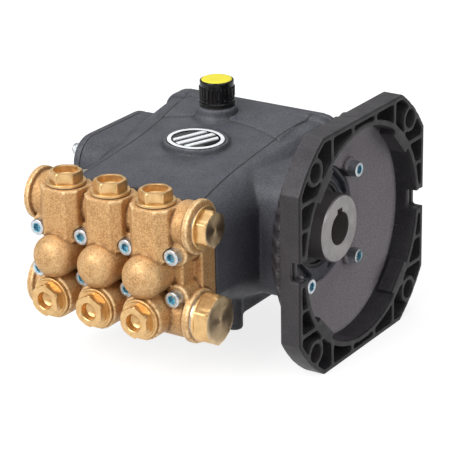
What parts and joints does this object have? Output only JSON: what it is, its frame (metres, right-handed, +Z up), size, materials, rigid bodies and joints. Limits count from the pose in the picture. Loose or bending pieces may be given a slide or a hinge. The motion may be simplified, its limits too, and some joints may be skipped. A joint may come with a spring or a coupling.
{
  "type": "pressure washer pump",
  "caption": "Triplex plunger pump with a forged valve head, a cast crankcase and a bell flange with a hollow keyed shaft for an electric motor",
  "frame": {"origin": "on the crankshaft axis, at the face of the motor flange", "axes": "+X leaves the flange face towards the motor, -Y points at the valve head, +Z up"},
  "size_m": [0.256, 0.281, 0.2],
  "materials": {
    "case_paint": "satin blue-grey enamel on an aluminium casting",
    "flange_casting": "charcoal grey enamel on an aluminium casting",
    "forged_brass": "forged and bead-blasted, fine grain",
    "turned_brass": "turned bright end faces",
    "zinc_steel": "bright zinc plated",
    "shaft_steel": "ground steel",
    "bearing_steel": "ground and polished",
    "stainless_steel": "stainless, turned",
    "rod_aluminium": "die cast, machined bores",
    "plunger_ceramic": "polished ceramic",
    "packing_fabric": "fabric reinforced packing",
    "seal_rubber": "moulded rubber",
    "cage_plastic": "moulded valve cage",
    "cap_black": "glossy moulded",
    "cap_yellow": "glossy moulded",
    "badge_silver": "pressed badge, dark recesses",
    "sight_glass": "clear oil level window"
  },
  "bodies": {
    "housing": {"crankcase": "case_paint", "rear_cover": "case_paint", "rear_cover_screws": "zinc_steel", "bearing_cover": "case_paint", "bearing_cover_screws": "zinc_steel", "badge_plate": "badge_silver", "sight_glass": "sight_glass", "drain_plug": "zinc_steel", "motor_flange": "flange_casting", "flange_screws": "zinc_steel", "shaft_oil_seal": "seal_rubber", "bearing_outer_rings": "bearing_steel", "manifold": "forged_brass", "manifold_screws": "zinc_steel", "outlet_valve_caps": "forged_brass", "inlet_valve_plugs": "forged_brass", "valve_seats": "stainless_steel", "valve_cages": "cage_plastic", "outlet_valve_springs": "stainless_steel", "inlet_valve_springs": "stainless_steel", "plunger_packings": "packing_fabric", "plunger_oil_seals": "seal_rubber", "outlet_side_plug": "turned_brass", "inlet_side_plug": "turned_brass", "side_plug_washers": "turned_brass"},
    "cap_washer": {"filler_washer": "seal_rubber"},
    "filler_cap": {"oil_cap": "cap_black", "oil_cap_button": "cap_yellow", "dipstick": "cap_black"},
    "crank": {"crankshaft": "shaft_steel", "bearing_inner_rings": "bearing_steel"},
    "drive_balls": {"drive_bearing_balls": "bearing_steel"},
    "free_balls": {"free_bearing_balls": "bearing_steel"},
    "conrod_1": {"conrod_1": "rod_aluminium", "conrod_cap_1": "rod_aluminium", "conrod_cap_screws_1": "zinc_steel"},
    "slinger_1": {"slinger_ring_1": "stainless_steel"},
    "plunger_1": {"crosshead_1": "rod_aluminium", "wrist_pin_1": "shaft_steel", "plunger_1": "plunger_ceramic"},
    "conrod_2": {"conrod_2": "rod_aluminium", "conrod_cap_2": "rod_aluminium", "conrod_cap_screws_2": "zinc_steel"},
    "slinger_2": {"slinger_ring_2": "stainless_steel"},
    "plunger_2": {"crosshead_2": "rod_aluminium", "wrist_pin_2": "shaft_steel", "plunger_2": "plunger_ceramic"},
    "conrod_3": {"conrod_3": "rod_aluminium", "conrod_cap_3": "rod_aluminium", "conrod_cap_screws_3": "zinc_steel"},
    "slinger_3": {"slinger_ring_3": "stainless_steel"},
    "plunger_3": {"crosshead_3": "rod_aluminium", "wrist_pin_3": "shaft_steel", "plunger_3": "plunger_ceramic"},
    "outlet_valve_1": {"outlet_valve_plate_1": "stainless_steel"},
    "outlet_valve_2": {"outlet_valve_plate_2": "stainless_steel"},
    "outlet_valve_3": {"outlet_valve_plate_3": "stainless_steel"},
    "inlet_valve_1": {"inlet_valve_plate_1": "stainless_steel"},
    "inlet_valve_2": {"inlet_valve_plate_2": "stainless_steel"},
    "inlet_valve_3": {"inlet_valve_plate_3": "stainless_steel"}
  },
  "joints": [
    {"name": "crank_spin", "type": "hinge", "parent": "housing", "child": "crank", "pos_m": [-0.1, 0, 0], "axis": [1, 0, 0], "continuous": true},
    {"name": "drive_balls_roll", "type": "hinge", "parent": "housing", "child": "drive_balls", "pos_m": [-0.06, 0, 0], "axis": [1, 0, 0], "continuous": true},
    {"name": "free_balls_roll", "type": "hinge", "parent": "housing", "child": "free_balls", "pos_m": [-0.234, 0, 0], "axis": [1, 0, 0], "continuous": true},
    {"name": "conrod_1_turn", "type": "hinge", "parent": "crank", "child": "conrod_1", "pos_m": [-0.188, -0.0047, -0.00171], "axis": [1, 0, 0], "continuous": true},
    {"name": "slinger_1_turn", "type": "hinge", "parent": "crank", "child": "slinger_1", "pos_m": [-0.188, -0.00235, -0.00086], "axis": [1, 0, 0], "continuous": true},
    {"name": "plunger_1_stroke", "type": "hinge", "parent": "slinger_1", "child": "plunger_1", "pos_m": [-0.188, -0.0047, 0], "axis": [1, 0, 0], "continuous": true},
    {"name": "conrod_2_turn", "type": "hinge", "parent": "crank", "child": "conrod_2", "pos_m": [-0.145, 0.00383, -0.00321], "axis": [1, 0, 0], "continuous": true},
    {"name": "slinger_2_turn", "type": "hinge", "parent": "crank", "child": "slinger_2", "pos_m": [-0.145, 0.00192, -0.00161], "axis": [1, 0, 0], "continuous": true},
    {"name": "plunger_2_stroke", "type": "hinge", "parent": "slinger_2", "child": "plunger_2", "pos_m": [-0.145, 0.00383, 0], "axis": [1, 0, 0], "continuous": true},
    {"name": "conrod_3_turn", "type": "hinge", "parent": "crank", "child": "conrod_3", "pos_m": [-0.102, 0.00087, 0.00492], "axis": [1, 0, 0], "continuous": true},
    {"name": "slinger_3_turn", "type": "hinge", "parent": "crank", "child": "slinger_3", "pos_m": [-0.102, 0.00043, 0.00246], "axis": [1, 0, 0], "continuous": true},
    {"name": "plunger_3_stroke", "type": "hinge", "parent": "slinger_3", "child": "plunger_3", "pos_m": [-0.102, 0.00087, 0], "axis": [1, 0, 0], "continuous": true},
    {"name": "outlet_valve_1_lift", "type": "slide", "parent": "housing", "child": "outlet_valve_1", "axis": [0, 0, 1], "range_m": [0, 0.002], "stiffness_N_per_m": 200, "springref_m": -0.005, "deforming": ["outlet_valve_springs"]},
    {"name": "outlet_valve_2_lift", "type": "slide", "parent": "housing", "child": "outlet_valve_2", "axis": [0, 0, 1], "range_m": [0, 0.002], "stiffness_N_per_m": 200, "springref_m": -0.005},
    {"name": "outlet_valve_3_lift", "type": "slide", "parent": "housing", "child": "outlet_valve_3", "axis": [0, 0, 1], "range_m": [0, 0.002], "stiffness_N_per_m": 200, "springref_m": -0.005},
    {"name": "inlet_valve_1_lift", "type": "slide", "parent": "housing", "child": "inlet_valve_1", "axis": [0, -1, 0], "range_m": [0, 0.002], "stiffness_N_per_m": 200, "springref_m": -0.005, "deforming": ["inlet_valve_springs"]},
    {"name": "inlet_valve_2_lift", "type": "slide", "parent": "housing", "child": "inlet_valve_2", "axis": [0, -1, 0], "range_m": [0, 0.002], "stiffness_N_per_m": 200, "springref_m": -0.005},
    {"name": "inlet_valve_3_lift", "type": "slide", "parent": "housing", "child": "inlet_valve_3", "axis": [0, -1, 0], "range_m": [0, 0.002], "stiffness_N_per_m": 200, "springref_m": -0.005},
    {"name": "cap_lift", "type": "slide", "parent": "housing", "child": "cap_washer", "axis": [0, 0, 1], "range_m": [0, 0.012]},
    {"name": "cap_unscrew", "type": "hinge", "parent": "cap_washer", "child": "filler_cap", "pos_m": [-0.157, 0.026, 0.0775], "axis": [0, 0, 1], "range_deg": [0, 1440]}
  ],
  "couplings": [
    {"joint": "drive_balls_roll", "follows": "crank_spin", "ratio": 0.43103},
    {"joint": "free_balls_roll", "follows": "crank_spin", "ratio": 0.40217},
    {"joint": "conrod_1_turn", "follows": "crank_spin", "ratio": -1},
    {"joint": "slinger_1_turn", "follows": "crank_spin", "ratio": -2},
    {"joint": "plunger_1_stroke", "follows": "crank_spin", "ratio": 1},
    {"joint": "conrod_2_turn", "follows": "crank_spin", "ratio": -1},
    {"joint": "slinger_2_turn", "follows": "crank_spin", "ratio": -2},
    {"joint": "plunger_2_stroke", "follows": "crank_spin", "ratio": 1},
    {"joint": "conrod_3_turn", "follows": "crank_spin", "ratio": -1},
    {"joint": "slinger_3_turn", "follows": "crank_spin", "ratio": -2},
    {"joint": "plunger_3_stroke", "follows": "crank_spin", "ratio": 1},
    {"joint": "cap_unscrew", "follows": "cap_lift", "rad_per_m": 2094.4}
  ]
}
